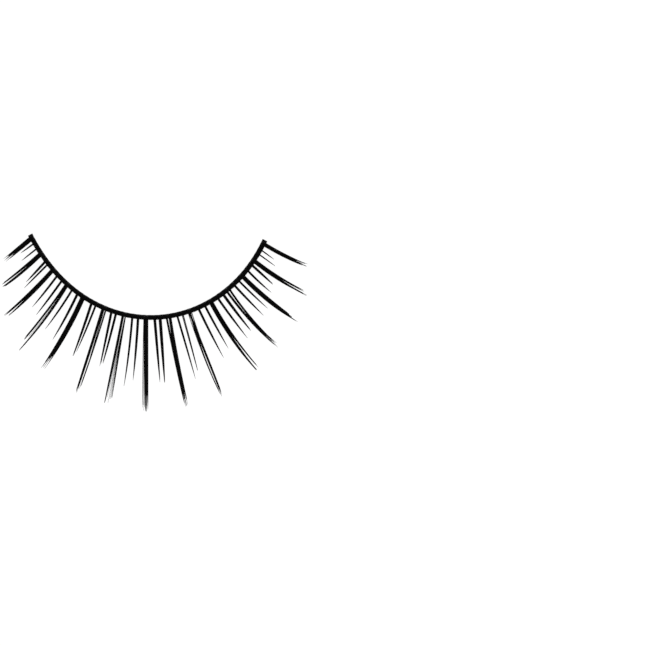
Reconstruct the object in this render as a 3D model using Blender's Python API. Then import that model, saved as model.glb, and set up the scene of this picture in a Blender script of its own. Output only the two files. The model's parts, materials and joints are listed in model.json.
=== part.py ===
# False eyelash strip, the left one of a pair, lying on the flat underside of its band.
# +X runs along the band from its left end to its right end, +Y points into the band's bend,
# where the eyelid goes, and +Z is up. The origin is on the underside, in the middle of the bend.

from collections import namedtuple
from math import copysign, cos, radians, sin

import bmesh
import bpy
from mathutils import Vector

mm = 0.001

# Driving dimensions of the band
band_length = 33.0 * mm
band_width = 0.54 * mm
band_height = 0.30 * mm
foot_chamfer = 0.03 * mm
top_round = 0.10 * mm
bend_share = 0.515
left_end_angle = 62.5
right_end_angle = 65.0
left_flatten_ratio = 0.20
right_flatten_ratio = 0.10
band_stations = 57

# Driving dimensions of the lashes
longest_lash = 10.15 * mm
spike_width = 0.56 * mm
fine_width = 0.24 * mm
tip_width = 0.055 * mm
curl_start_ratio = 0.05
curl_rise_ratio = 0.36
spike_fullness = 4.5
fine_fullness = 2.6
strand_sections = 11
fine_sections = 8
weld_distance = 0.0005 * mm

# How a lash is seated on the band
seat_gap = 0.02 * mm
seat_length = 0.15 * mm

# A lash has its place as a share of the band's length, its length as a share of the longest lash,
# its heading in degrees (0 points straight out of the bend, left is negative), its bow as a share
# of its own length, and its width as a share of the named width. A spike also has its strands.
Spike = namedtuple("Spike", "place length heading bow width strands")
Fine = namedtuple("Fine", "place length heading bow width")

# A strand has the offsets of its root, middle and tip to the right of the spike's middle line, and
# its girth, all as shares of the spike's width, and its reach as a share of the spike's length.
Strand = namedtuple("Strand", "root middle tip reach girth")

spikes = [
    Spike(0.0145, 0.372, -51.6, 0.000, 1.02,
          [Strand(-0.34, -0.26, -0.26, 1.00, 0.52),
           Strand(-0.06, 0.04, 0.06, 0.99, 0.55),
           Strand(0.18, 0.27, 0.34, 0.98, 0.45)]),
    Spike(0.075, 0.527, -51.3, 0.014, 1.00,
          [Strand(-0.33, -0.24, -0.22, 0.97, 0.44), Strand(0.06, 0.26, 0.38, 1.02, 0.51)]),
    Spike(0.1405, 0.687, -45.4, 0.020, 1.02,
          [Strand(-0.20, -0.26, -0.24, 1.02, 0.52), Strand(0.18, 0.20, 0.24, 0.96, 0.48)]),
    Spike(0.209, 0.857, -36.2, 0.027, 0.96,
          [Strand(-0.26, -0.61, -0.72, 0.87, 0.46), Strand(0.10, 0.03, 0.02, 1.00, 0.46)]),
    Spike(0.277, 0.866, -29.8, 0.028, 1.02,
          [Strand(-0.32, -0.31, -0.16, 0.98, 0.54),
           Strand(0.00, 0.02, 0.08, 0.99, 0.60),
           Strand(0.20, 0.27, 0.38, 0.97, 0.46)]),
    Spike(0.356, 0.927, -17.5, 0.005, 0.95,
          [Strand(-0.34, -0.37, -0.31, 1.00, 0.54), Strand(0.06, 0.15, 0.17, 0.98, 0.50)]),
    Spike(0.4245, 0.966, -12.2, 0.000, 1.00,
          [Strand(-0.18, -0.06, -0.06, 1.00, 0.50),
           Strand(0.08, 0.37, 0.66, 0.91, 0.20),
           Strand(0.28, 0.74, 1.20, 0.97, 0.30)]),
    Spike(0.498, 1.000, 0.0, 0.000, 1.06,
          [Strand(-0.38, -0.50, -0.62, 0.99, 0.18),
           Strand(-0.24, -0.14, -0.12, 0.98, 0.44),
           Strand(0.02, 0.02, 0.02, 1.00, 0.42),
           Strand(0.25, 0.28, 0.31, 0.99, 0.38)]),
    Spike(0.574, 0.986, 11.0, 0.001, 1.04,
          [Strand(-0.40, -0.30, -0.06, 0.99, 0.40),
           Strand(0.16, -0.02, 0.20, 0.98, 0.51),
           Strand(0.31, 0.18, 0.38, 0.96, 0.35)]),
    Spike(0.646, 0.950, 21.1, 0.014, 0.92,
          [Strand(-0.16, 0.20, 0.05, 1.00, 0.48),
           Strand(0.06, -0.28, -0.12, 0.98, 0.46),
           Strand(0.32, 0.26, 0.08, 0.95, 0.20)]),
    Spike(0.7225, 0.875, 33.9, 0.032, 1.00,
          [Strand(-0.18, -0.05, -0.05, 1.00, 0.60), Strand(0.24, 0.42, 0.56, 0.98, 0.39)]),
    Spike(0.792, 0.807, 41.5, 0.031, 0.92,
          [Strand(-0.34, -0.22, -0.15, 1.00, 0.54), Strand(0.40, 0.24, 0.26, 0.95, 0.50)]),
    Spike(0.859, 0.731, 50.5, 0.035, 1.06,
          [Strand(-0.17, -0.13, -0.12, 0.97, 0.48),
           Strand(0.02, 0.08, -0.04, 1.00, 0.58),
           Strand(0.17, 0.29, 0.17, 0.93, 0.42)]),
    Spike(0.9225, 0.644, 58.0, 0.027, 0.96,
          [Strand(-0.18, -0.29, -0.32, 1.03, 0.50), Strand(0.27, 0.25, 0.20, 0.97, 0.48)]),
    Spike(0.987, 0.487, 63.5, 0.022, 0.96,
          [Strand(-0.18, -0.19, -0.22, 1.03, 0.53), Strand(0.20, 0.18, 0.22, 0.98, 0.57)]),
]

fine_lashes = [
    Fine(0.032, 0.159, -52.7, 0.000, 0.72),
    Fine(0.0515, 0.193, -51.4, 0.000, 0.78),
    Fine(0.1025, 0.282, -42.3, 0.000, 1.00),
    Fine(0.115, 0.338, -44.9, 0.000, 0.90),
    Fine(0.164, 0.418, -38.0, 0.008, 0.92),
    Fine(0.1865, 0.449, -36.5, 0.005, 1.02),
    Fine(0.232, 0.499, -34.0, 0.013, 0.88),
    Fine(0.254, 0.547, -27.9, 0.012, 1.05),
    Fine(0.309, 0.597, -18.9, 0.007, 1.22),
    Fine(0.3255, 0.531, -22.2, 0.004, 0.95),
    Fine(0.381, 0.589, -11.5, 0.000, 1.12),
    Fine(0.3975, 0.589, -14.7, 0.004, 1.12),
    Fine(0.453, 0.740, -6.5, 0.009, 1.08),
    Fine(0.4725, 0.664, -4.4, 0.005, 1.00),
    Fine(0.527, 0.705, 5.0, 0.000, 1.22),
    Fine(0.545, 0.705, 4.3, 0.000, 1.48),
    Fine(0.6025, 0.677, 16.5, 0.000, 1.00),
    Fine(0.6205, 0.612, 15.3, 0.000, 0.80),
    Fine(0.677, 0.568, 27.2, 0.009, 1.05),
    Fine(0.700, 0.498, 29.2, 0.008, 1.02),
    Fine(0.7495, 0.512, 36.6, 0.008, 1.02),
    Fine(0.7705, 0.476, 37.4, 0.009, 1.35),
    Fine(0.819, 0.430, 44.2, 0.009, 0.92),
    Fine(0.8395, 0.411, 46.3, 0.008, 0.80),
    Fine(0.885, 0.326, 47.0, 0.017, 1.00),
    Fine(0.907, 0.293, 47.7, 0.000, 1.25),
    Fine(0.950, 0.202, 54.4, 0.000, 0.62),
    Fine(0.966, 0.155, 54.5, 0.000, 0.68),
]


def clear_scene():
    for old in list(bpy.data.objects):
        bpy.data.objects.remove(old, do_unlink=True)


def new_collection(name):
    collection = bpy.data.collections.new(name)
    bpy.context.scene.collection.children.link(collection)
    return collection


def fibre_black(name, colour, roughness):
    material = bpy.data.materials.new(name)
    material.use_nodes = True
    shader = material.node_tree.nodes["Principled BSDF"]
    shader.inputs["Base Color"].default_value = colour
    shader.inputs["Roughness"].default_value = roughness
    shader.inputs["Metallic"].default_value = 0.0
    return material


def band_direction(place):
    """Angle of the band at a place along it: 0 in the middle of the bend, steepest at the ends."""
    if place < bend_share:
        end_angle, flattening, share = -left_end_angle, left_flatten_ratio, 1 - place / bend_share
    else:
        end_angle, flattening = right_end_angle, right_flatten_ratio
        share = (place - bend_share) / (1 - bend_share)
    return radians(end_angle) * ((1 + flattening) * share - flattening * share**3)


def band_point(place, steps=48):
    """Point of the band's middle line, walked from the middle of the bend in short steps."""
    point = Vector((0, 0, 0))
    step = (place - bend_share) / steps
    for n in range(steps):
        angle = band_direction(bend_share + (n + 0.5) * step)
        point += Vector((cos(angle), sin(angle), 0)) * step * band_length
    return point


def lash_point(lash, along, aside, lift):
    """Point of a lash at a share along it, so far to the right of its bowed middle line."""
    heading = radians(lash.heading)
    ahead = Vector((sin(heading), -cos(heading), 0))
    right = Vector((cos(heading), sin(heading), 0))
    length = lash.length * longest_lash + band_width / 2
    bow = -copysign(lash.bow, lash.heading) * length * 4 * along * (1 - along)
    rise = length * (curl_start_ratio * along + curl_rise_ratio * along**2) if along > 0 else 0
    up = Vector((0, 0, band_height + seat_gap + lift + rise))
    return band_point(lash.place) + ahead * length * along + right * (bow + aside) + up


def tube(name, points, radii, material, collection):
    """Tapered fibre with closed ends: a bevelled curve, made a mesh."""
    curve = bpy.data.curves.new(name, "CURVE")
    curve.dimensions = "3D"
    curve.bevel_depth = max(radii)
    curve.bevel_resolution = 1
    curve.use_fill_caps = True
    spline = curve.splines.new("POLY")
    spline.points.add(len(points) - 1)
    for control, point, radius in zip(spline.points, points, radii):
        control.co = (*point, 1)
        control.radius = radius / max(radii)
    return meshed(name, curve, material, collection)


def meshed(name, curve, material, collection):
    """Closed mesh of a curve, with its caps welded on."""
    guide = bpy.data.objects.new(name + "_curve", curve)
    collection.objects.link(guide)
    depsgraph = bpy.context.evaluated_depsgraph_get()
    mesh = bpy.data.meshes.new_from_object(guide.evaluated_get(depsgraph))
    mesh.name = name
    bpy.data.objects.remove(guide)
    body = bmesh.new()
    body.from_mesh(mesh)
    bmesh.ops.remove_doubles(body, verts=body.verts, dist=weld_distance)
    bmesh.ops.recalc_face_normals(body, faces=body.faces)
    body.to_mesh(mesh)
    body.free()
    mesh.materials.clear()
    mesh.materials.append(material)
    mesh.shade_smooth()
    mesh.set_sharp_from_angle(angle=radians(50))
    solid = bpy.data.objects.new(name, mesh)
    collection.objects.link(solid)
    return solid


def make_band(material, collection):
    half, height = band_width / 2, band_height
    outline = [
        (-half + foot_chamfer, 0),
        (half - foot_chamfer, 0),
        (half, foot_chamfer),
        (half, height - top_round),
        (half - top_round, height),
        (-half + top_round, height),
        (-half, height - top_round),
        (-half, foot_chamfer),
    ]
    profile_curve = bpy.data.curves.new("band_profile", "CURVE")
    profile = profile_curve.splines.new("POLY")
    profile.points.add(len(outline) - 1)
    for control, (across, up) in zip(profile.points, outline):
        control.co = (across, up, 0, 1)
    profile.use_cyclic_u = True
    profile_object = bpy.data.objects.new("band_profile", profile_curve)

    curve = bpy.data.curves.new("band", "CURVE")
    curve.dimensions = "3D"
    curve.twist_mode = "Z_UP"
    curve.bevel_mode = "OBJECT"
    curve.bevel_object = profile_object
    curve.use_fill_caps = True
    spline = curve.splines.new("POLY")
    spline.points.add(band_stations - 1)
    for n, control in enumerate(spline.points):
        control.co = (*band_point(n / (band_stations - 1)), 1)
    band = meshed("band", curve, material, collection)
    bpy.data.objects.remove(profile_object)
    return band


def strand_offset(strand, along):
    """Offset at a share along a strand: a smooth curve through its root, middle and tip."""
    share = max(0, along)
    near = strand.root * (1 - share) * (1 - 2 * share)
    far = strand.tip * share * (2 * share - 1)
    return near + strand.middle * 4 * share * (1 - share) + far


def tapered(width, along, fullness):
    """Radius of a fibre at a share along it: full near the root, tip_width at its end."""
    return (tip_width + (width - tip_width) * (1 - max(0, along) ** fullness)) / 2


def make_strand(name, spike, strand, material, collection):
    width = spike.width * spike_width
    first = -seat_length / (spike.length * longest_lash)
    points, radii = [], []
    for n in range(strand_sections):
        share = first + (1 - first) * n / (strand_sections - 1)
        aside = strand_offset(strand, share) * width
        points.append(lash_point(spike, share * strand.reach, aside, strand.girth * width / 2))
        radii.append(tapered(strand.girth * width, share, spike_fullness))
    return tube(name, points, radii, material, collection)


def make_spike(name, spike, material, collection, cutters):
    body = make_strand(name, spike, spike.strands[0], material, collection)
    for n, strand in enumerate(spike.strands[1:], 2):
        other = make_strand(f"{name}_strand_{n}", spike, strand, material, cutters)
        other.hide_render = True
        other.display_type = "WIRE"
        union = body.modifiers.new(f"strand_{n}", "BOOLEAN")
        union.operation = "UNION"
        union.solver = "EXACT"
        union.object = other
    weld = body.modifiers.new("weld", "WELD")
    weld.merge_threshold = weld_distance
    return body


def make_fine_lash(name, lash, material, collection):
    width = lash.width * fine_width
    first = -seat_length / (lash.length * longest_lash)
    shares = [first + (1 - first) * n / (fine_sections - 1) for n in range(fine_sections)]
    points = [lash_point(lash, share, 0, width / 2) for share in shares]
    radii = [tapered(width, share, fine_fullness) for share in shares]
    return tube(name, points, radii, material, collection)


clear_scene()
strip = new_collection("false_eyelash_strip")
cutters = new_collection("cutters")

make_band(fibre_black("band_black", (0.010, 0.010, 0.011, 1), 0.55), strip)

spike_black = fibre_black("spike_black", (0.012, 0.012, 0.013, 1), 0.38)
for number, row in enumerate(spikes, 1):
    make_spike(f"spike_{number:02d}", row, spike_black, strip, cutters)

fine_black = fibre_black("fine_lash_black", (0.020, 0.020, 0.021, 1), 0.42)
for number, row in enumerate(fine_lashes, 1):
    make_fine_lash(f"fine_lash_{number:02d}", row, fine_black, strip)
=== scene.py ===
import json
from math import copysign, cos, pi, radians, sin

import bpy
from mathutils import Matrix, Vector

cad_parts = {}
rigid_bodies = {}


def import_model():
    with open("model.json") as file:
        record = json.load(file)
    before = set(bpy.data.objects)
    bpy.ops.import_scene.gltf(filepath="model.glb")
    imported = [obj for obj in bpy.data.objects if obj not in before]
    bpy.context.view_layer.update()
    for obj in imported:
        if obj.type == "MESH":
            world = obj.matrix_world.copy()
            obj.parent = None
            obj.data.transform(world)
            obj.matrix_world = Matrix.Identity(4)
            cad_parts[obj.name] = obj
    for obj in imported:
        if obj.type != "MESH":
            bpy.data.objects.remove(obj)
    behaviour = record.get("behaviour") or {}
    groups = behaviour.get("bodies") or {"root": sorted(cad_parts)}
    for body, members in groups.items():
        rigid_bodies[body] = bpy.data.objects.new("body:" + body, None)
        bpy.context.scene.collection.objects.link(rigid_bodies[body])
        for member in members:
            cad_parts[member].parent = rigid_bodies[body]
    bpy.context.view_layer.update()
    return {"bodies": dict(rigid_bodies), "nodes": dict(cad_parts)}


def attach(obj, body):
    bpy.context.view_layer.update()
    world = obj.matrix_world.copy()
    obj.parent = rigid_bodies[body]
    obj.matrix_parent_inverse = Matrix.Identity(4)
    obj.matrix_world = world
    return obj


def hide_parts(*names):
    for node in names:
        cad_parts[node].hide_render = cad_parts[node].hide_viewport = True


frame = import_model()
rootBody = next(iter(frame["bodies"]))
mm = 0.001
print("frame loaded:", len(frame["nodes"]), "CAD nodes")


class Wire:  # a socket; Python's operators on it add Math nodes
    def __init__(self, bench, socket):
        self.bench = bench
        self.socket = socket

    def math(self, operation, *values):
        return self.bench.math(operation, *values)

    def __add__(self, other):
        return self.math("ADD", self, other)

    def __radd__(self, other):
        return self.math("ADD", other, self)

    def __sub__(self, other):
        return self.math("SUBTRACT", self, other)

    def __rsub__(self, other):
        return self.math("SUBTRACT", other, self)

    def __mul__(self, other):
        return self.math("MULTIPLY", self, other)

    def __rmul__(self, other):
        return self.math("MULTIPLY", other, self)

    def __truediv__(self, other):
        return self.math("DIVIDE", self, other)

    def __rtruediv__(self, other):
        return self.math("DIVIDE", other, self)

    def __pow__(self, other):
        return self.math("POWER", self, other)

    def sine(self):
        return self.math("SINE", self)

    def cosine(self):
        return self.math("COSINE", self)

    def atLeast(self, floor):
        return self.math("MAXIMUM", self, floor)

    def atMost(self, ceiling):
        return self.math("MINIMUM", self, ceiling)


class Bench:  # where one node tree is put together, for a material or for Geometry Nodes
    def __init__(self, tree):
        self.tree = tree

    def node(self, kind, settings=None, sockets=None, out=None):
        made = self.tree.nodes.new(kind)
        for name, value in (settings or {}).items():
            setattr(made, name, value)
        for name, value in (sockets or {}).items():
            if isinstance(name, int):
                socket = made.inputs[name]
            else:
                socket = next(s for s in made.inputs if s.name == name and s.enabled)
            if isinstance(value, Wire):
                self.tree.links.new(value.socket, socket)
            else:
                socket.default_value = value
        outputs = [s for s in made.outputs if s.enabled and out in (None, s.name)]
        return Wire(self, outputs[0]) if outputs else None

    def math(self, operation, *values):
        return self.node("ShaderNodeMath", {"operation": operation}, dict(enumerate(values)))

    def vector(self, operation, *values):
        sockets = dict(enumerate(values))
        if operation == "SCALE":
            sockets = {0: values[0], 3: values[1]}
        return self.node("ShaderNodeVectorMath", {"operation": operation}, sockets)

    def blend(self, factor, first, second):
        sockets = {"Factor": factor, "A": first, "B": second}
        return self.node("ShaderNodeMix", {"data_type": "RGBA"}, sockets)

    def noise(self, spot, scale, detail):
        sockets = {"Vector": spot, "Scale": scale, "Detail": detail}
        return self.node("ShaderNodeTexNoise", sockets=sockets, out="Fac")

    def twin(self, wire, out):  # another output of the node that a wire comes from
        return Wire(self, wire.socket.node.outputs[out])

    def named(self, name):
        return self.node("GeometryNodeInputNamedAttribute", {"data_type": "FLOAT"}, {"Name": name})

    def store(self, geometry, name, value):  # keeps a value at every point under a name
        settings = {"data_type": "FLOAT", "domain": "POINT"}
        sockets = {"Geometry": geometry, "Name": name, "Value": value}
        return self.node("GeometryNodeStoreNamedAttribute", settings, sockets)

    def swell(self, geometry, relief):  # moves the surface along its normals
        offset = self.vector("SCALE", self.node("GeometryNodeInputNormal", out="Normal"), relief)
        return self.node("GeometryNodeSetPosition", sockets={"Geometry": geometry, "Offset": offset})

    def keepAbove(self, geometry, height):
        x = self.node("ShaderNodeSeparateXYZ", sockets={"Vector": self.spot()}, out="X")
        z = self.twin(x, "Z").atLeast(height)
        lifted = self.node("ShaderNodeCombineXYZ", sockets={"X": x, "Y": self.twin(x, "Y"), "Z": z})
        return self.node("GeometryNodeSetPosition", sockets={"Geometry": geometry, "Position": lifted})

    def spot(self):
        return self.node("GeometryNodeInputPosition")

    def circle(self, sides):
        return self.node("GeometryNodeCurvePrimitiveCircle", sockets={"Resolution": sides, "Radius": 1.0})

    def sweep(self, curve, profile, scale):
        return self.node("GeometryNodeCurveToMesh", sockets={
            "Curve": curve, "Profile Curve": profile, "Scale": scale, "Fill Caps": True})


def startTree(name, inputs):  # a Geometry Nodes tree with named inputs: (name, socket type, value)
    tree = bpy.data.node_groups.new(name, "GeometryNodeTree")
    tree.interface.new_socket("Geometry", in_out="OUTPUT", socket_type="NodeSocketGeometry")
    tree.interface.new_socket("Guide", in_out="INPUT", socket_type="NodeSocketGeometry")
    for label, kind, value in inputs:
        socket = tree.interface.new_socket(label, in_out="INPUT", socket_type=kind)
        if value is not None:
            socket.default_value = value
    bench = Bench(tree)
    source = tree.nodes.new("NodeGroupInput")
    wires = {s.name: Wire(bench, s) for s in source.outputs if s.name}
    return bench, wires


def endTree(bench, geometry, material):  # smooth, real and dressed, as the export needs it
    smooth = bench.node("GeometryNodeSetShadeSmooth", sockets={"Geometry": geometry, "Shade Smooth": True})
    real = bench.node("GeometryNodeRealizeInstances", sockets={"Geometry": smooth})
    dressed = bench.node("GeometryNodeSetMaterial", sockets={"Geometry": real, "Material": material})
    bench.node("NodeGroupOutput", sockets={"Geometry": dressed})


def growPiece(name, guide, tree, values):  # runs a tree on a guide and keeps the plain mesh
    holder = bpy.data.objects.new(name + "_guide", guide)
    bpy.context.scene.collection.objects.link(holder)
    modifier = holder.modifiers.new("grow", "NODES")
    modifier.node_group = tree
    for socket in tree.interface.items_tree:
        if socket.in_out == "INPUT" and socket.name in values:
            modifier[socket.identifier] = values[socket.name]
    evaluated = holder.evaluated_get(bpy.context.evaluated_depsgraph_get())
    mesh = bpy.data.meshes.new_from_object(evaluated)
    mesh.name = name
    bpy.data.objects.remove(holder)
    piece = bpy.data.objects.new(name, mesh)
    bpy.context.scene.collection.objects.link(piece)
    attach(piece, rootBody)
    return piece


def guideLines(name, lines, columns):  # polylines with a value of each column at every point
    mesh = bpy.data.meshes.new(name)
    points = [point for line in lines for point in line["points"]]
    edges, first = [], 0
    for line in lines:
        edges += [(n, n + 1) for n in range(first, first + len(line["points"]) - 1)]
        first += len(line["points"])
    mesh.from_pydata(points, edges, [])
    for column in columns:
        layer = mesh.attributes.new(column, "FLOAT", "POINT")
        layer.data.foreach_set("value", [value for line in lines for value in line[column]])
    return mesh


band = {
    "length": 33.0 * mm,
    "width": 0.54 * mm,
    "height": 0.30 * mm,
    "bend": 0.515,  # where the bend's middle is, as a share of the length
    "leftAngle": 62.5,  # how steep the left end stands, in degrees
    "rightAngle": 65.0,
    "leftFlattening": 0.20,  # how much less the band bends towards that end
    "rightFlattening": 0.10,
    "points": 80,  # of the line that the thread follows
    "rings": 620,
    "sides": 22,
    "crown": 0.58,  # the share of the height that is round, above the flat foot
    "plies": 2,
    "plyPitch": 0.62 * mm,  # one turn of the twisted thread
    "plyRelief": 0.012 * mm,
    "glueRelief": 0.016 * mm,
    "glueLumps": 2600.0,  # how fine the lumps in the glue are
    "glueDepth": 0.35,  # the lumps' level that leaves the thread's size as it is
    "glueBuild": 0.018 * mm,  # how much more glue there is towards the right end
    "glueBuildSlope": 3,  # how soon after the bend it is all there
}

lashes = {
    "longest": 10.15 * mm,
    "spikeWidth": 0.56 * mm,
    "fineWidth": 0.24 * mm,
    "tipWidth": 0.055 * mm,
    "curlStart": 0.05,  # slope at the root
    "curlRise": 0.36,  # rise at the tip over the length, on top of that slope
    "spikeFullness": 4.5,  # a fuller strand keeps its girth for longer before it tapers
    "fineFullness": 2.6,
    "seatGap": 0.02 * mm,
    "seatLength": 0.15 * mm,
    "seatDip": 0.13 * mm,  # how far the root's end bows down into the glue
    "seatGather": 0.55,  # the root's girth there, as a share of the full girth
    "seatStations": 2,
    "stations": 12,
}

# place: share of the band's length. length: share of the longest lash. heading: degrees from straight
# out of the bend. bow: share of the length. width: share of the spike or fine width. fray: how far the
# shortest fibre stays behind. A strand's root, middle, tip and girth are shares of the spike's width.
strandColumns = ("root", "middle", "tip", "reach", "girth", "density")
spikeColumns = ("place", "length", "heading", "bow", "width", "fray", "fullness", "strands")
spikeRows = [
    (0.0145, 0.372, -51.6, 0.000, 1.02, 0.46, 2.4,
     [(-0.34, -0.26, -0.26, 1.00, 0.52, 0.9), (-0.06, 0.04, 0.06, 0.99, 0.55, 0.9),
      (0.18, 0.27, 0.34, 0.98, 0.45, 0.7)]),
    (0.075, 0.527, -51.3, 0.014, 1.00, 0.14, 3.8,
     [(-0.33, -0.24, -0.22, 0.97, 0.44, 0.9), (0.06, 0.26, 0.38, 1.02, 0.51, 1.0)]),
    (0.1405, 0.687, -45.4, 0.020, 1.02, 0.14, 3.8,
     [(-0.20, -0.26, -0.24, 1.02, 0.52, 1.0), (0.18, 0.20, 0.24, 0.98, 0.48, 0.9)]),
    (0.209, 0.857, -36.2, 0.027, 0.96, 0.10, 3.8,
     [(-0.28, -0.62, -0.72, 0.87, 0.45, 1.0), (0.10, 0.03, 0.02, 1.00, 0.44, 1.0),
      (-0.06, -0.28, -0.38, 0.85, 0.08, 0.1)]),
    (0.277, 0.866, -29.8, 0.028, 1.02, 0.34, 3.0,
     [(-0.32, -0.31, -0.16, 1.01, 0.52, 1.0), (0.00, 0.02, 0.08, 1.02, 0.56, 1.0),
      (0.20, 0.27, 0.38, 1.00, 0.46, 0.8)]),
    (0.356, 0.927, -17.5, 0.005, 0.95, 0.10, 4.2,
     [(-0.34, -0.37, -0.25, 1.01, 0.56, 1.0), (0.02, 0.08, 0.10, 0.62, 0.17, 0.1),
      (0.22, 0.20, 0.14, 0.92, 0.06, 0.1), (0.40, 0.30, 0.18, 1.01, 0.22, 0.2)]),
    (0.4245, 0.966, -12.2, 0.000, 1.00, 0.10, 4.2,
     [(-0.18, -0.06, -0.06, 1.00, 0.50, 1.0), (0.24, 0.31, 0.38, 0.98, 0.08, 0.1),
      (0.27, 0.42, 0.60, 0.99, 0.08, 0.1), (0.29, 0.53, 0.82, 1.00, 0.08, 0.1),
      (0.31, 0.63, 1.02, 1.01, 0.09, 0.1), (0.32, 0.70, 1.14, 0.99, 0.08, 0.1),
      (0.34, 0.77, 1.24, 0.99, 0.17, 0.2)]),
    (0.498, 1.000, 0.0, 0.000, 1.06, 0.07, 12.0,
     [(-0.40, -0.56, -0.62, 1.00, 0.07, 0.1), (-0.36, -0.46, -0.51, 0.98, 0.065, 0.1),
      (-0.32, -0.36, -0.40, 1.00, 0.065, 0.1), (-0.28, -0.27, -0.29, 0.96, 0.07, 0.1),
      (-0.24, -0.18, -0.19, 1.00, 0.12, 0.1), (-0.12, -0.08, -0.08, 0.86, 0.18, 0.2),
      (0.03, 0.04, 0.04, 1.01, 0.26, 0.4), (0.18, 0.19, 0.21, 0.86, 0.18, 0.2),
      (0.29, 0.31, 0.32, 1.00, 0.15, 0.1), (0.38, 0.40, 0.42, 0.99, 0.16, 0.1)]),
    (0.574, 0.986, 11.0, 0.001, 1.04, 0.18, 3.2,
     [(-0.40, -0.30, -0.06, 1.01, 0.40, 0.6), (0.16, -0.02, 0.18, 1.02, 0.51, 1.0),
      (0.31, 0.18, 0.38, 0.98, 0.35, 0.6)]),
    (0.646, 0.950, 21.1, 0.014, 0.92, 0.12, 3.8,
     [(-0.16, 0.21, 0.05, 1.02, 0.42, 0.9), (0.06, -0.30, -0.14, 0.99, 0.39, 0.8),
      (0.36, 0.26, 0.08, 0.95, 0.16, 0.1), (-0.40, -0.38, -0.16, 0.95, 0.16, 0.1)]),
    (0.7235, 0.875, 33.9, 0.032, 1.04, 0.12, 4.2,
     [(-0.18, -0.05, -0.05, 1.00, 0.60, 1.3), (0.24, 0.42, 0.56, 0.98, 0.37, 0.8)]),
    (0.792, 0.807, 41.5, 0.031, 0.92, 0.16, 3.8,
     [(-0.34, -0.22, -0.15, 1.00, 0.50, 1.0), (0.40, 0.25, 0.24, 0.95, 0.46, 0.9),
      (0.30, 0.24, 0.46, 0.95, 0.16, 0.1)]),
    (0.859, 0.731, 50.5, 0.035, 1.06, 0.22, 3.8,
     [(-0.17, -0.13, -0.12, 1.02, 0.48, 0.9), (0.02, 0.08, -0.02, 1.04, 0.58, 1.0),
      (0.17, 0.29, 0.19, 0.99, 0.42, 0.8)]),
    (0.9225, 0.644, 58.0, 0.027, 0.96, 0.14, 3.4,
     [(-0.16, -0.23, -0.32, 1.04, 0.53, 1.2), (0.24, 0.19, 0.22, 0.99, 0.46, 0.5)]),
    (0.987, 0.487, 63.5, 0.022, 0.96, 0.20, 4.6,
     [(-0.18, -0.19, -0.22, 1.05, 0.53, 0.9), (0.20, 0.18, 0.24, 1.04, 0.57, 0.9)]),
]

fineColumns = ("place", "length", "heading", "bow", "width", "fibres")
fineRows = [
    (0.032, 0.159, -52.7, 0.000, 0.72, 1),
    (0.0515, 0.193, -51.4, 0.000, 0.78, 1),
    (0.1025, 0.290, -42.3, 0.000, 1.00, 1),
    (0.115, 0.348, -44.9, 0.000, 0.90, 1),
    (0.164, 0.418, -38.0, 0.008, 0.92, 1),
    (0.1865, 0.449, -36.5, 0.005, 1.02, 1),
    (0.232, 0.499, -34.0, 0.013, 0.88, 1),
    (0.254, 0.547, -27.9, 0.012, 0.98, 1),
    (0.309, 0.597, -19.1, 0.007, 1.20, 2),
    (0.3255, 0.531, -21.9, 0.004, 0.95, 1),
    (0.381, 0.589, -11.5, 0.000, 1.12, 2),
    (0.3975, 0.589, -14.7, 0.004, 1.12, 2),
    (0.453, 0.740, -6.5, 0.009, 1.08, 1),
    (0.4725, 0.664, -4.4, 0.005, 1.00, 1),
    (0.527, 0.705, 5.0, 0.000, 1.22, 2),
    (0.545, 0.705, 4.3, 0.000, 1.48, 2),
    (0.6025, 0.697, 16.5, 0.000, 1.00, 1),
    (0.6205, 0.630, 15.3, 0.000, 1.32, 3),
    (0.677, 0.585, 27.2, 0.009, 1.09, 1),
    (0.700, 0.513, 29.2, 0.008, 1.02, 1),
    (0.7495, 0.527, 36.6, 0.008, 1.02, 1),
    (0.7705, 0.490, 37.4, 0.009, 1.35, 2),
    (0.819, 0.443, 44.2, 0.009, 0.92, 1),
    (0.8395, 0.423, 46.3, 0.008, 0.80, 1),
    (0.885, 0.336, 47.0, 0.017, 1.00, 1),
    (0.907, 0.302, 47.7, 0.000, 1.25, 2),
    (0.950, 0.208, 54.4, 0.000, 0.62, 1),
    (0.966, 0.160, 54.5, 0.000, 0.68, 1),
]
spikes = [dict(zip(spikeColumns, row)) for row in spikeRows]
for spike in spikes:
    spike["strands"] = [dict(zip(strandColumns, row)) for row in spike["strands"]]
fineLashes = [dict(zip(fineColumns, row)) for row in fineRows]


def bandAngle(place):  # 0 in the middle of the bend, steepest at the ends
    if place < band["bend"]:
        end, flattening, share = -band["leftAngle"], band["leftFlattening"], 1 - place / band["bend"]
    else:
        end, flattening = band["rightAngle"], band["rightFlattening"]
        share = (place - band["bend"]) / (1 - band["bend"])
    return radians(end) * ((1 + flattening) * share - flattening * share**3)


def bandPoint(place, steps=48):
    point = Vector((0, 0, 0))
    step = (place - band["bend"]) / steps
    for n in range(steps):
        angle = bandAngle(band["bend"] + (n + 0.5) * step)
        point += Vector((cos(angle), sin(angle), 0)) * step * band["length"]
    return point


def lashPoint(lash, along, aside, lift):
    heading = radians(lash["heading"])
    ahead = Vector((sin(heading), -cos(heading), 0))
    right = Vector((cos(heading), sin(heading), 0))
    length = lash["length"] * lashes["longest"] + band["width"] / 2
    bow = -copysign(lash["bow"], lash["heading"]) * length * 4 * along * (1 - along)
    rise = length * (lashes["curlStart"] * along + lashes["curlRise"] * along**2) if along > 0 else 0
    up = Vector((0, 0, band["height"] + lashes["seatGap"] + lift + rise))
    return bandPoint(lash["place"]) + ahead * length * along + right * (bow + aside) + up


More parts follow.
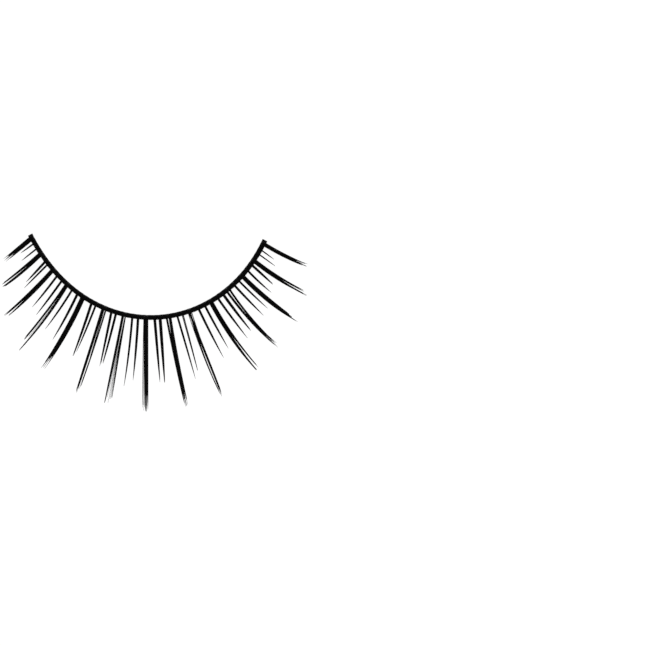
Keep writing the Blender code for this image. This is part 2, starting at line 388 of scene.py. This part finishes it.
def tapered(width, along, fullness):
    return (lashes["tipWidth"] + (width - lashes["tipWidth"]) * (1 - max(0, along) ** fullness)) / 2


def strandOffset(strand, along):  # a smooth curve through a strand's root, middle and tip
    share = max(0, along)
    near = strand["root"] * (1 - share) * (1 - 2 * share)
    far = strand["tip"] * share * (2 * share - 1)
    return near + strand["middle"] * 4 * share * (1 - share) + far


def strandGuide(lash, strand, width, fullness):  # middle line of a strand, with its girth at each point
    girth = strand["girth"] * width
    seat, last = lashes["seatStations"], lashes["stations"] - 1
    guide = {"points": [], "envelope": [], "density": [], "girth": []}
    for n in range(-seat, lashes["stations"]):
        back = max(0, -n) / seat  # how far back from the band's middle, as a share of the seat
        share = max(0, n) / last - back * lashes["seatLength"] / (lash["length"] * lashes["longest"])
        dip = lashes["seatDip"] * back**2
        gather = 1 - (1 - lashes["seatGather"]) * back**2
        aside = strandOffset(strand, share) * width
        guide["points"].append(lashPoint(lash, share * strand["reach"], aside, girth / 2 - dip))
        guide["envelope"].append(tapered(girth, share, fullness) * gather)
        guide["density"].append(strand["density"])
        guide["girth"].append(girth * gather)
    return guide


fibre = {
    "fibres": 10,
    "width": 0.14 * mm,
    "widest": 1.15,  # a fibre's width at most, as a share of its strand's girth
    "thinnest": 0.85,  # the thinnest fibre's width over the usual width
    "widthSpread": 0.3,
    "tipWidth": 0.030 * mm,
    "goldenTurn": 2.39996,  # from one seed of a sunflower to the next, in radians
    "turnSpread": 0.9,
    "twirl": 1.4,  # how far fibres turn round the bundle on their way to the tip
    "inset": 0.42,  # how far a fibre's own width holds it inside the strand
    "swell": 0.011 * mm,  # how far a bundle's outer fibres stand out of the strand's girth
    "rootFlatness": 0.70,  # height of a bundle over its width where it crosses the band
    "rootFade": 4,  # how soon after the root the bundle is round
    "stray": 0.06 * mm,  # how far fibres wander apart towards their tips
    "strayPower": 2.5,
    "strayAside": 2,
    "strayAbove": 1.2,
    "sides": 6,
    "seedStep": 10,
}


def makeFibreTree():  # fills each guide's girth with fibres, laid out like the seeds of a sunflower
    bench, source = startTree("fibreBundle", [
        ("Fibres", "NodeSocketInt", fibre["fibres"]),
        ("Fibre Width", "NodeSocketFloat", fibre["width"]),
        ("Tip Width", "NodeSocketFloat", fibre["tipWidth"]),
        ("Stray", "NodeSocketFloat", fibre["stray"]),
        ("Shortest Reach", "NodeSocketFloat", None),
        ("Fullness", "NodeSocketFloat", None),
        ("Seed", "NodeSocketInt", 1),
        ("Material", "NodeSocketMaterial", None),
    ])

    def chance(number):  # one random share for each fibre
        drawn = bench.node("FunctionNodeRandomValue", sockets={"Seed": source["Seed"] + number})
        settings = {"domain": "CURVE", "data_type": "FLOAT"}
        return bench.node("GeometryNodeFieldOnDomain", settings, {"Value": drawn})

    lines = bench.node("GeometryNodeMeshToCurve", sockets={"Mesh": source["Guide"]})
    amount = bench.math("ROUND", source["Fibres"] * bench.named("density")).atLeast(1)
    copies = bench.node("GeometryNodeDuplicateElements", {"domain": "SPLINE"},
                        {"Geometry": lines, "Amount": amount})
    rank = bench.twin(copies, "Duplicate Index")
    along = bench.node("GeometryNodeSplineParameter", out="Factor")
    tangent = bench.node("GeometryNodeInputTangent")
    side = bench.vector("NORMALIZE", bench.vector("CROSS_PRODUCT", tangent, (0, 0, 1)))
    over = bench.vector("CROSS_PRODUCT", side, tangent)
    turn = rank * fibre["goldenTurn"] + chance(1) * fibre["turnSpread"]
    turn = turn + along * (chance(2) - 0.5) * fibre["twirl"]
    ring = ((rank + 0.5) / amount) ** 0.5
    slim = 1 - along ** source["Fullness"]
    fibreWidth = source["Fibre Width"].atMost(bench.named("girth") * fibre["widest"])
    room = (bench.named("envelope") + fibre["swell"] - fibreWidth * fibre["inset"] * slim).atLeast(0)
    flatness = 1 - (1 - fibre["rootFlatness"]) * (1 - along * fibre["rootFade"]).atLeast(0)
    wander = along ** fibre["strayPower"] * source["Stray"]
    aside = ring * turn.cosine() * room + wander * (chance(3) - 0.5) * fibre["strayAside"]
    above = ring * turn.sine() * room * flatness + wander * (chance(4) - 0.5) * fibre["strayAbove"]
    offset = bench.vector("ADD", bench.vector("SCALE", side, aside), bench.vector("SCALE", over, above))
    spread = bench.node("GeometryNodeSetPosition", sockets={"Geometry": copies, "Offset": offset})
    end = 1 - (1 - source["Shortest Reach"]) * chance(5)
    cut = bench.node("GeometryNodeTrimCurve", {"mode": "FACTOR"},
                     {"Curve": spread, "Start": 0.0, "End": end})
    kept = bench.store(cut, "along", along)
    toned = bench.store(kept, "tone", chance(6))
    thickness = (fibre["thinnest"] + chance(7) * fibre["widthSpread"]) * fibreWidth
    radius = (source["Tip Width"] + (thickness - source["Tip Width"]) * slim) / 2
    tubes = bench.sweep(toned, bench.circle(fibre["sides"]), radius)
    endTree(bench, tubes, source["Material"])
    return bench.tree


def makeMaterial(name, fill):  # fill puts the shader's sockets together on the material's bench
    material = bpy.data.materials.new(name)
    material.use_nodes = True
    material.node_tree.nodes.clear()
    bench = Bench(material.node_tree)
    shader = bench.node("ShaderNodeBsdfPrincipled", sockets=fill(bench))
    bench.node("ShaderNodeOutputMaterial", sockets={"Surface": shader})
    return material


def roughGrain(bench, spot, look):
    grain = bench.noise(spot, look["grain"], look["grainDetail"])
    sockets = {"Strength": look["bump"], "Distance": look["bumpDepth"], "Height": grain}
    return bench.node("ShaderNodeBump", sockets=sockets)


fibreLook = {
    "deep": (0.0006, 0.0006, 0.0007, 1),
    "brown": (0.0028, 0.0025, 0.0023, 1),
    "brownByTone": 0.6,  # how much of the brown is one fibre's own, and how much is in streaks
    "brownByStreak": 0.5,
    "tip": (0.008, 0.0075, 0.0072, 1),
    "tipShare": 0.7,
    "tipPower": 4,
    "specular": 0.06,
    "roughness": 0.42,
    "streakRoughness": 0.12,
    "tipRoughness": 0.08,
    "streaksAlong": 14,
    "streaksApart": 53,  # keeps one fibre's streaks from the next one's
    "streakDetail": 3.0,
    "grain": 9000.0,
    "grainDetail": 2.0,
    "bump": 0.25,
    "bumpDepth": 0.01 * mm,
}


def makeFibreMaterial(name, look):
    def fill(bench):
        tone = bench.node("ShaderNodeAttribute", {"attribute_name": "tone"}, out="Fac")
        along = bench.node("ShaderNodeAttribute", {"attribute_name": "along"}, out="Fac")
        sockets = {0: along * look["streaksAlong"], 1: tone * look["streaksApart"], 2: 0.0}
        streak = bench.noise(bench.node("ShaderNodeCombineXYZ", sockets=sockets), 1.0, look["streakDetail"])
        brown = (tone * look["brownByTone"] + streak * look["brownByStreak"]).atMost(1)
        body = bench.blend(brown, look["deep"], look["brown"])
        spot = bench.node("ShaderNodeTexCoord", out="Object")
        return {
            "Base Color": bench.blend(along ** look["tipPower"] * look["tipShare"], body, look["tip"]),
            "Roughness": look["roughness"] + streak * look["streakRoughness"] + along * look["tipRoughness"],
            "Specular IOR Level": look["specular"],
            "Normal": roughGrain(bench, spot, look),
        }

    return makeMaterial(name, fill)


glueLook = {
    "thread": (0.0008, 0.0008, 0.0009, 1),
    "worn": (0.0035, 0.0033, 0.0031, 1),
    "specular": 0.07,
    "roughness": 0.46,
    "patches": 1900.0,  # how fine the dull patches are
    "patchDetail": 4.0,
    "patchStart": 0.45,
    "patchContrast": 3,
    "patchRoughness": 0.35,
    "grain": 14000.0,
    "grainDetail": 3.0,
    "bump": 0.4,
    "bumpDepth": 0.012 * mm,
}


def makeGlueMaterial(name, look):  # thread soaked in black glue: satin, with duller dry patches
    def fill(bench):
        spot = bench.node("ShaderNodeTexCoord", out="Object")
        patch = bench.noise(spot, look["patches"], look["patchDetail"])
        worn = ((patch - look["patchStart"]) * look["patchContrast"]).atLeast(0).atMost(1)
        return {
            "Base Color": bench.blend(worn, look["thread"], look["worn"]),
            "Roughness": look["roughness"] + (patch - 0.5) * look["patchRoughness"],
            "Specular IOR Level": look["specular"],
            "Normal": roughGrain(bench, spot, look),
        }

    return makeMaterial(name, fill)


spikeFibre = makeFibreMaterial("spikeFibre", fibreLook)
fineFibre = makeFibreMaterial("fineFibre", dict(fibreLook, roughness=0.46, specular=0.055))
threadGlue = makeGlueMaterial("threadGlue", glueLook)
beadGlue = makeGlueMaterial("beadGlue", dict(glueLook, roughness=0.40, specular=0.08))
print("materials made")

fibreTree = makeFibreTree()
guideColumns = ("envelope", "density", "girth")
for number, spike in enumerate(spikes, 1):
    width = spike["width"] * lashes["spikeWidth"]
    fullness = lashes["spikeFullness"]
    lines = [strandGuide(spike, strand, width, fullness) for strand in spike["strands"]]
    guide = guideLines(f"spikeGuide{number}", lines, guideColumns)
    values = {
        "Shortest Reach": 1 - spike["fray"],
        "Fullness": spike["fullness"],
        "Seed": fibre["seedStep"] * number,
        "Material": spikeFibre,
    }
    piece = growPiece(f"spike_{number:02d}_fibres", guide, fibreTree, values)
    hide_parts(f"spike_{number:02d}")
print("spikes grown:", len(spikes))

fine = {
    "strand": dict(zip(strandColumns, (0, 0, 0, 1, 1, 1))),  # straight down the lash's middle
    "stray": 0.03 * mm,
    "shortestReach": {1: 1.0, 2: 0.90, 3: 0.90},  # by how many fibres the lash has
    "fibreShare": {1: 1.12, 2: 0.86, 3: 0.38},  # a fibre's width over the lash's width
    "fullness": 2.6,  # of each fibre
    "firstSeed": 500,
}
for number, lash in enumerate(fineLashes, 1):
    width = lash["width"] * lashes["fineWidth"]
    line = strandGuide(lash, fine["strand"], width, lashes["fineFullness"])
    guide = guideLines(f"fineGuide{number}", [line], guideColumns)
    values = {
        "Fibres": lash["fibres"],
        "Fibre Width": width * fine["fibreShare"][lash["fibres"]],
        "Stray": fine["stray"],
        "Shortest Reach": fine["shortestReach"][lash["fibres"]],
        "Fullness": fine["fullness"],
        "Seed": fine["firstSeed"] + fibre["seedStep"] * number,
        "Material": fineFibre,
    }
    piece = growPiece(f"fine_lash_{number:02d}_fibres", guide, fibreTree, values)
    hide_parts(f"fine_lash_{number:02d}")
print("fine lashes grown:", len(fineLashes))


def makeThreadTree():  # the band: a flat-footed thread with its twist showing through the glue
    bench, source = startTree("bandThread", [
        ("Width", "NodeSocketFloat", band["width"]),
        ("Height", "NodeSocketFloat", band["height"]),
        ("Ply Pitch", "NodeSocketFloat", band["plyPitch"]),
        ("Ply Relief", "NodeSocketFloat", band["plyRelief"]),
        ("Glue Relief", "NodeSocketFloat", band["glueRelief"]),
        ("Glue Build", "NodeSocketFloat", band["glueBuild"]),
        ("Material", "NodeSocketMaterial", None),
    ])
    line = bench.node("GeometryNodeMeshToCurve", sockets={"Mesh": source["Guide"]})
    fineLine = bench.node("GeometryNodeResampleCurve", sockets={"Curve": line, "Count": band["rings"]})
    upright = bench.node("GeometryNodeSetCurveNormal", {"mode": "Z_UP"}, {"Curve": fineLine})
    marked = bench.store(upright, "travelled", bench.node("GeometryNodeSplineParameter", out="Length"))
    around = bench.node("GeometryNodeSplineParameter", out="Factor")
    rim = bench.store(bench.circle(band["sides"]), "around", around)
    apart = bench.node("ShaderNodeSeparateXYZ", sockets={"Vector": bench.spot()}, out="X")
    upper = (bench.twin(apart, "Y") * band["crown"] + (1 - band["crown"])).atLeast(0)
    flat = bench.node("ShaderNodeCombineXYZ", sockets={
        "X": apart * source["Width"] * -0.5,
        "Y": upper * source["Height"] * -1,
    })
    profile = bench.node("GeometryNodeSetPosition", sockets={"Geometry": rim, "Position": flat})
    bar = bench.sweep(marked, profile, 1.0)
    travelled = bench.named("travelled")
    twist = (travelled / source["Ply Pitch"] + bench.named("around") * band["plies"]) * (2 * pi)
    lumps = bench.noise(bench.spot(), band["glueLumps"], 2.0)
    rightward = (travelled / band["length"] - band["bend"]) * band["glueBuildSlope"]
    relief = twist.sine() * source["Ply Relief"] * 0.5
    relief = relief + (lumps - band["glueDepth"]) * source["Glue Relief"]
    relief = relief + rightward.atLeast(0).atMost(1) * source["Glue Build"]
    endTree(bench, bench.keepAbove(bench.swell(bar, relief), 0), source["Material"])
    return bench.tree


threadLine = {"points": [bandPoint(n / band["points"]) for n in range(band["points"] + 1)]}
threadGuide = guideLines("threadGuide", [threadLine], ())
thread = growPiece("band_thread", threadGuide, makeThreadTree(), {"Material": threadGlue})
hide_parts("band")
print("band thread made")

bead = {
    "across": 0.25 * mm,
    "margin": 0.05 * mm,  # past each side of the lash
    "height": 0.46,  # over the band, as a share of the lash's width
    "sink": 0.10 * mm,  # how deep in the band its middle lies
    "lowest": 0.06 * mm,
    "relief": 0.03 * mm,
    "lumps": 5200.0,
    "subdivisions": 3,
}


def makeBeadTree():  # a dried bead of glue over each lash's root
    bench, source = startTree("glueBeads", [("Material", "NodeSocketMaterial", None)])
    points = bench.node("GeometryNodeMeshToPoints", sockets={"Mesh": source["Guide"]})
    ball = bench.node("GeometryNodeMeshIcoSphere",
                      sockets={"Radius": 1.0, "Subdivisions": bead["subdivisions"]})
    turned = bench.node("ShaderNodeCombineXYZ", sockets={"Z": bench.named("turned")})
    size = bench.node("ShaderNodeCombineXYZ", sockets={
        "X": bench.named("reachAlong"), "Y": bench.named("reachAcross"), "Z": bench.named("reachUp")})
    placed = bench.node("GeometryNodeInstanceOnPoints", sockets={
        "Points": points, "Instance": ball, "Scale": size,
        "Rotation": bench.node("FunctionNodeEulerToRotation", sockets={"Euler": turned})})
    real = bench.node("GeometryNodeRealizeInstances", sockets={"Geometry": placed})
    relief = (bench.noise(bench.spot(), bead["lumps"], 2.0) - 0.5) * bead["relief"]
    endTree(bench, bench.keepAbove(bench.swell(real, relief), bead["lowest"]), source["Material"])
    return bench.tree


beadLines = []
rooted = [(spike, lashes["spikeWidth"]) for spike in spikes]
rooted += [(lash, lashes["fineWidth"]) for lash in fineLashes]
for lash, fullWidth in rooted:
    width = lash["width"] * fullWidth
    foot = bandPoint(lash["place"]) + Vector((0, 0, band["height"] - bead["sink"]))
    beadLines.append({
        "points": [foot],
        "turned": [bandAngle(lash["place"])],
        "reachAlong": [width / 2 + bead["margin"]],
        "reachAcross": [bead["across"]],
        "reachUp": [bead["sink"] + width * bead["height"]],
    })
beadColumns = ("turned", "reachAlong", "reachAcross", "reachUp")
beadGuide = guideLines("beadGuide", beadLines, beadColumns)
growPiece("root_glue", beadGuide, makeBeadTree(), {"Material": beadGlue})
print("root glue made")

studio = {
    "floorSize": 1.2,
    "floorDepth": 0.01 * mm,
    "floorColour": (0.22, 0.22, 0.22, 1),
    "floorRoughness": 0.8,
    "floorSpecular": 0.1,
    "floorGlow": 0.93,
    "lampAzimuths": (25, 115, 205, 295),
    "lampElevation": 48,
    "lampDistance": 0.5,
    "lampSize": 0.36,
    "lampPower": 0.40,
    "world": (0.92, 0.94, 1.0, 1),
    "worldStrength": 0.15,
}


def fillPaper(bench):
    return {
        "Base Color": studio["floorColour"],
        "Roughness": studio["floorRoughness"],
        "Specular IOR Level": studio["floorSpecular"],
        "Emission Color": (1, 1, 1, 1),
        "Emission Strength": studio["floorGlow"],
    }


bpy.ops.mesh.primitive_plane_add(size=studio["floorSize"], location=(0, 0, -studio["floorDepth"]))
floor = bpy.context.object
floor.name = "studio_floor"
floor.data.materials.append(makeMaterial("studioFloor", fillPaper))

world = bpy.data.worlds.new("studioWorld")
bpy.context.scene.world = world
world.use_nodes = True
background = world.node_tree.nodes["Background"]
background.inputs["Color"].default_value = studio["world"]
background.inputs["Strength"].default_value = studio["worldStrength"]

for azimuth in studio["lampAzimuths"]:
    lamp = bpy.data.lights.new(f"softbox{azimuth}", "AREA")
    lamp.size = studio["lampSize"]
    lamp.energy = studio["lampPower"]
    softbox = bpy.data.objects.new(f"softbox{azimuth}", lamp)
    bpy.context.scene.collection.objects.link(softbox)
    up = radians(studio["lampElevation"])
    away = Vector((cos(radians(azimuth)) * cos(up), sin(radians(azimuth)) * cos(up), sin(up)))
    softbox.location = away * studio["lampDistance"]
    softbox.rotation_euler = away.to_track_quat("Z", "Y").to_euler()

shot = {
    "imageSize": 646,
    "pixel": 0.110 * mm,  # what one pixel of the photograph covers
    "bendPixel": (151.0, 317.5),  # where the photograph has the middle of the band's bend
    "distance": 2.5,
    "nearest": 0.05,
    "farthest": 20,
    "sensor": 36.0,
}
camera = bpy.data.cameras.new("camera")
camera.sensor_width = shot["sensor"]
camera.lens = shot["sensor"] * shot["distance"] / (shot["imageSize"] * shot["pixel"])
camera.clip_start = shot["nearest"]
camera.clip_end = shot["farthest"]
cameraObject = bpy.data.objects.new("camera", camera)
bpy.context.scene.collection.objects.link(cameraObject)
middle = shot["imageSize"] / 2
cameraObject.location = (
    (middle - shot["bendPixel"][0]) * shot["pixel"],
    (shot["bendPixel"][1] - middle) * shot["pixel"],
    shot["distance"],
)
bpy.context.scene.camera = cameraObject
bpy.context.scene.view_settings.view_transform = "Standard"
print("studio and camera set")
